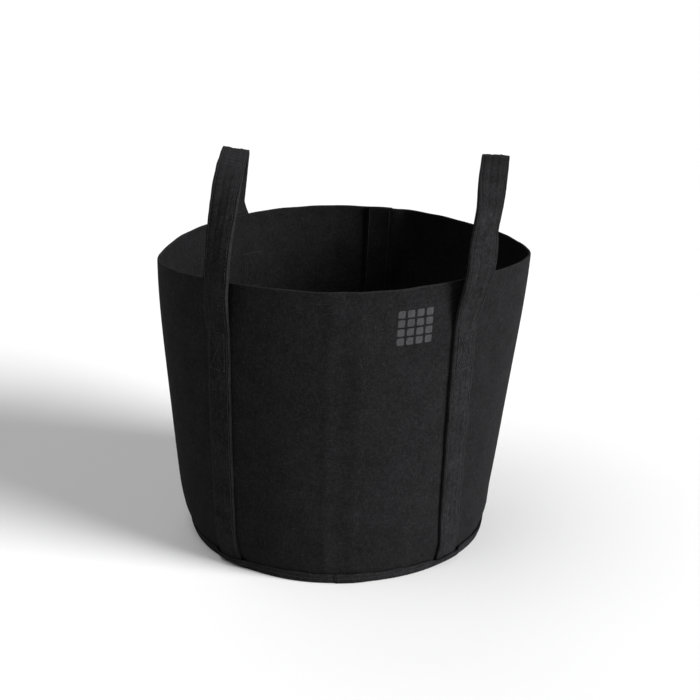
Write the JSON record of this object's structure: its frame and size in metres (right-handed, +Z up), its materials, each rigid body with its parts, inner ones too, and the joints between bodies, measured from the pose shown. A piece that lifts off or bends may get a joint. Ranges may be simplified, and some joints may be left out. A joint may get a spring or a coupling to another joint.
{
  "type": "fabric grow bag",
  "caption": "Round felt grow bag with a tapered wall, a sewn-in base disc with a turned-up edge, and sewn strap handles that fold in and out.",
  "frame": {"origin": "centre of the underside of the base, where the bag rests", "axes": "+Z up, -Y the front with the printed mark, +X the right; the handles stand over the left and right of the mouth"},
  "size_m": [0.4, 0.4, 0.4259],
  "materials": {
    "wall_felt": "matt heathered black needle-punched felt",
    "base_felt": "matt heathered black needle-punched felt",
    "strap_felt": "matt black felt folded double, with a fine rib",
    "thread": "black twisted sewing thread"
  },
  "bodies": {
    "bag": {"wall_panel": "wall_felt", "base_disc": "base_felt", "left_front_leg": "strap_felt", "left_back_leg": "strap_felt", "right_front_leg": "strap_felt", "right_back_leg": "strap_felt", "base_seam_thread": "thread", "back_seam_thread_outer": "thread", "back_seam_thread_inner": "thread", "left_front_box_stitch": "thread", "left_back_box_stitch": "thread", "right_front_box_stitch": "thread", "right_back_box_stitch": "thread", "left_front_leg_edge_thread_left": "thread", "left_front_leg_edge_thread_right": "thread", "left_back_leg_edge_thread_left": "thread", "left_back_leg_edge_thread_right": "thread", "right_front_leg_edge_thread_left": "thread", "right_front_leg_edge_thread_right": "thread", "right_back_leg_edge_thread_left": "thread", "right_back_leg_edge_thread_right": "thread"},
    "left_handle": {"left_handle_loop": "strap_felt", "left_handle_edge_thread_left": "thread", "left_handle_edge_thread_right": "thread"},
    "right_handle": {"right_handle_loop": "strap_felt", "right_handle_edge_thread_left": "thread", "right_handle_edge_thread_right": "thread"}
  },
  "joints": [
    {"name": "left_handle_swing", "type": "hinge", "parent": "bag", "child": "left_handle", "pos_m": [-0.1215, 0, 0.336], "axis": [-0.0314, 0.9995, 0], "range_deg": [-105, 88]},
    {"name": "right_handle_swing", "type": "hinge", "parent": "bag", "child": "right_handle", "pos_m": [0.157, -0.0245, 0.336], "axis": [-0.1335, -0.9911, 0], "range_deg": [-115, 88]}
  ]
}
